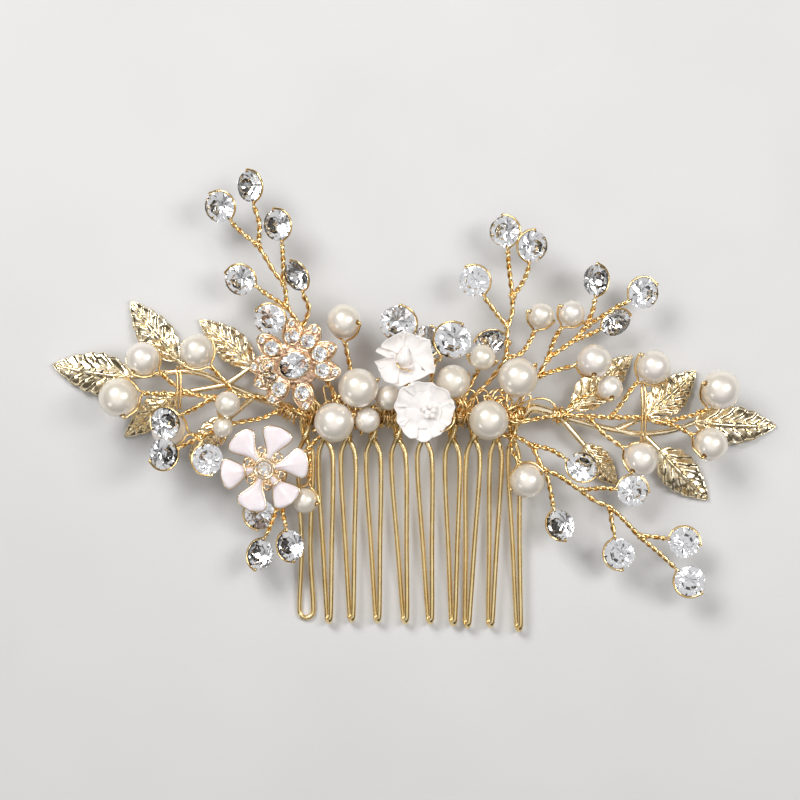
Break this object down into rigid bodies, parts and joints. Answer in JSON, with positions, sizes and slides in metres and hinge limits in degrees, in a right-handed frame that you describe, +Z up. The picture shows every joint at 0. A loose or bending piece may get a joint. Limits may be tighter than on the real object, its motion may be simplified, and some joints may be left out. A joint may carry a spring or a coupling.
{
  "type": "decorative hair comb",
  "caption": "Wire hair comb carrying sprays of pearls, faceted crystals, cast leaves and small flowers on twisted gold wire.",
  "frame": {"origin": "on the table under the centre of the comb's bounding box, the comb lying on its back", "axes": "+X along the rail to the right, -Y from the rail to the tooth tips, +Z up from the table to the ornaments"},
  "size_m": [0.1286, 0.0814, 0.0136],
  "materials": {
    "comb_gold": "satin gold-plated wire",
    "wire_gold": "bright gold-plated twisted wire",
    "leaf_gold": "polished champagne-gold casting",
    "rose_gold": "rose-gold casting with a fine grain",
    "flower_gold": "polished gold casting",
    "pearl": "pearlescent coating",
    "crystal": "faceted and foil-backed",
    "enamel": "satin pearly enamel",
    "clay": "matt fired clay"
  },
  "bodies": {
    "comb": {"comb_rail": "comb_gold", "comb_teeth": "comb_gold", "binding_wire": "wire_gold", "pearl_pins": "wire_gold", "leaf_branch_left": "leaf_gold", "leaf_branch_right": "leaf_gold", "wires_left_top": "wire_gold", "wires_left_mid": "wire_gold", "wires_left_low": "wire_gold", "wires_centre_left": "wire_gold", "wires_centre_right": "wire_gold", "wires_right_top_inner": "wire_gold", "wires_right_top_outer": "wire_gold", "wires_right_mid": "wire_gold", "wires_right_low": "wire_gold", "crystals_left_top": "crystal", "crystals_left_mid": "crystal", "crystals_left_low": "crystal", "crystals_centre": "crystal", "crystals_right_top_inner": "crystal", "crystals_right_top_outer": "crystal", "crystals_right_low": "crystal", "strass_flower_base": "rose_gold", "strass_petal_stones": "crystal", "strass_centre_stone": "crystal", "enamel_flower_base": "flower_gold", "enamel_petals": "enamel", "enamel_centre_stone": "crystal", "clay_rose": "clay", "clay_blossom": "clay"},
    "pearl_01": {"pearl_01": "pearl"},
    "pearl_02": {"pearl_02": "pearl"},
    "pearl_03": {"pearl_03": "pearl"},
    "pearl_04": {"pearl_04": "pearl"},
    "pearl_05": {"pearl_05": "pearl"},
    "pearl_06": {"pearl_06": "pearl"},
    "pearl_07": {"pearl_07": "pearl"},
    "pearl_08": {"pearl_08": "pearl"},
    "pearl_09": {"pearl_09": "pearl"},
    "pearl_10": {"pearl_10": "pearl"},
    "pearl_11": {"pearl_11": "pearl"},
    "pearl_12": {"pearl_12": "pearl"},
    "pearl_13": {"pearl_13": "pearl"},
    "pearl_14": {"pearl_14": "pearl"},
    "pearl_15": {"pearl_15": "pearl"},
    "pearl_16": {"pearl_16": "pearl"},
    "pearl_17": {"pearl_17": "pearl"},
    "pearl_18": {"pearl_18": "pearl"},
    "pearl_19": {"pearl_19": "pearl"},
    "pearl_20": {"pearl_20": "pearl"},
    "pearl_21": {"pearl_21": "pearl"},
    "pearl_22": {"pearl_22": "pearl"},
    "pearl_23": {"pearl_23": "pearl"},
    "pearl_24": {"pearl_24": "pearl"},
    "pearl_25": {"pearl_25": "pearl"}
  },
  "joints": [
    {"name": "pearl_01_spin", "type": "hinge", "parent": "comb", "child": "pearl_01", "pos_m": [-0.0477, 0.0074, 0.0074], "axis": [0.5082, 0.7541, -0.416], "continuous": true},
    {"name": "pearl_02_spin", "type": "hinge", "parent": "comb", "child": "pearl_02", "pos_m": [-0.0382, 0.0088, 0.0076], "axis": [0.6804, 0.6885, -0.2511], "continuous": true},
    {"name": "pearl_03_spin", "type": "hinge", "parent": "comb", "child": "pearl_03", "pos_m": [-0.0519, 0.0006, 0.0075], "axis": [-0.2437, 0.9098, -0.3359], "continuous": true},
    {"name": "pearl_04_spin", "type": "hinge", "parent": "comb", "child": "pearl_04", "pos_m": [-0.0327, -0.0005, 0.0091], "axis": [-0.3773, -0.9261, 0], "continuous": true},
    {"name": "pearl_05_spin", "type": "hinge", "parent": "comb", "child": "pearl_05", "pos_m": [-0.0336, -0.0046, 0.0077], "axis": [0.2169, -0.9762, 0], "continuous": true},
    {"name": "pearl_06_spin", "type": "hinge", "parent": "comb", "child": "pearl_06", "pos_m": [-0.0433, -0.0049, 0.006], "axis": [0.194, 0.9655, -0.1735], "continuous": true},
    {"name": "pearl_07_spin", "type": "hinge", "parent": "comb", "child": "pearl_07", "pos_m": [-0.0124, 0.014, 0.008], "axis": [0.8241, -0.0897, 0.5593], "continuous": true},
    {"name": "pearl_08_spin", "type": "hinge", "parent": "comb", "child": "pearl_08", "pos_m": [-0.0099, 0.0023, 0.0096], "axis": [0.9138, 0.4061, 0], "continuous": true},
    {"name": "pearl_09_spin", "type": "hinge", "parent": "comb", "child": "pearl_09", "pos_m": [-0.0141, -0.0037, 0.0095], "axis": [-0.9191, -0.3939, 0], "continuous": true},
    {"name": "pearl_10_spin", "type": "hinge", "parent": "comb", "child": "pearl_10", "pos_m": [-0.0083, -0.0033, 0.0078], "axis": [-0.3939, -0.9191, 0], "continuous": true},
    {"name": "pearl_11_spin", "type": "hinge", "parent": "comb", "child": "pearl_11", "pos_m": [-0.0046, 0.0006, 0.007], "axis": [0.9615, -0.2747, 0], "continuous": true},
    {"name": "pearl_12_spin", "type": "hinge", "parent": "comb", "child": "pearl_12", "pos_m": [-0.0193, -0.0175, 0.0055], "axis": [-0.9109, 0.2344, -0.3396], "continuous": true},
    {"name": "pearl_13_spin", "type": "hinge", "parent": "comb", "child": "pearl_13", "pos_m": [0.0067, 0.0034, 0.0076], "axis": [0.7804, 0.4489, -0.4352], "continuous": true},
    {"name": "pearl_14_spin", "type": "hinge", "parent": "comb", "child": "pearl_14", "pos_m": [0.0118, 0.0076, 0.0094], "axis": [0.9685, -0.2222, -0.1128], "continuous": true},
    {"name": "pearl_15_spin", "type": "hinge", "parent": "comb", "child": "pearl_15", "pos_m": [0.0129, -0.0033, 0.0094], "axis": [-0.9487, 0.3162, 0], "continuous": true},
    {"name": "pearl_16_spin", "type": "hinge", "parent": "comb", "child": "pearl_16", "pos_m": [0.018, 0.0041, 0.0094], "axis": [0.7809, 0.6247, 0], "continuous": true},
    {"name": "pearl_17_spin", "type": "hinge", "parent": "comb", "child": "pearl_17", "pos_m": [0.0221, 0.015, 0.0076], "axis": [0.8913, -0.3039, -0.3366], "continuous": true},
    {"name": "pearl_18_spin", "type": "hinge", "parent": "comb", "child": "pearl_18", "pos_m": [0.0275, 0.0154, 0.0074], "axis": [0.8104, -0.5269, -0.2562], "continuous": true},
    {"name": "pearl_19_spin", "type": "hinge", "parent": "comb", "child": "pearl_19", "pos_m": [0.0314, 0.007, 0.0084], "axis": [-0.0653, -0.8033, 0.592], "continuous": true},
    {"name": "pearl_20_spin", "type": "hinge", "parent": "comb", "child": "pearl_20", "pos_m": [0.0419, 0.006, 0.007], "axis": [0.7017, -0.6913, -0.1722], "continuous": true},
    {"name": "pearl_21_spin", "type": "hinge", "parent": "comb", "child": "pearl_21", "pos_m": [0.0342, 0.0022, 0.0072], "axis": [0.1083, -0.7116, 0.6941], "continuous": true},
    {"name": "pearl_22_spin", "type": "hinge", "parent": "comb", "child": "pearl_22", "pos_m": [0.0535, 0.002, 0.0076], "axis": [0.8187, -0.3198, -0.4769], "continuous": true},
    {"name": "pearl_23_spin", "type": "hinge", "parent": "comb", "child": "pearl_23", "pos_m": [0.0519, -0.0076, 0.007], "axis": [-0.464, -0.6825, 0.5647], "continuous": true},
    {"name": "pearl_24_spin", "type": "hinge", "parent": "comb", "child": "pearl_24", "pos_m": [0.0397, -0.0102, 0.0068], "axis": [-0.5332, -0.6854, 0.496], "continuous": true},
    {"name": "pearl_25_spin", "type": "hinge", "parent": "comb", "child": "pearl_25", "pos_m": [0.0197, -0.014, 0.0076], "axis": [-0.81, -0.4869, -0.3267], "continuous": true}
  ]
}
